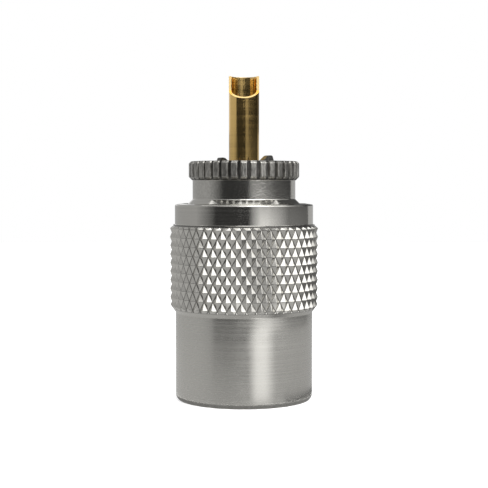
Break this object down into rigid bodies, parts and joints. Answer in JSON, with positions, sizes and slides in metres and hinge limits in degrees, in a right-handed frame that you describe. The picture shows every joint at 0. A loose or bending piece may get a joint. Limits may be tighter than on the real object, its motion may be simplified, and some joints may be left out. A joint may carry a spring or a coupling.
{
  "type": "uhf connector",
  "caption": "Coaxial plug standing on its cable end: knurled coupling nut sliding on a turned body with a toothed flange, insulator and hollow gold centre pin.",
  "frame": {"origin": "centre of the cable end, on the surface that the plug stands on", "axes": "+Z along the plug's axis towards the pin's tip; the scooped side of the pin faces -Y"},
  "size_m": [0.0196, 0.0194, 0.0424],
  "materials": {
    "nickel_body": "bright nickel plate over turned brass",
    "nickel_nut": "nickel plate over turned and knurled brass, satin on the skirt",
    "gold_pin": "gold plate over turned brass",
    "insulator": "turned white fluoropolymer"
  },
  "bodies": {
    "plug": {"plug_body": "nickel_body", "insulator": "insulator", "centre_pin": "gold_pin"},
    "nut": {"coupling_nut": "nickel_nut"}
  },
  "joints": [
    {"name": "nut_slide", "type": "slide", "parent": "plug", "child": "nut", "axis": [0, 0, 1], "range_m": [0, 0.01675]}
  ]
}
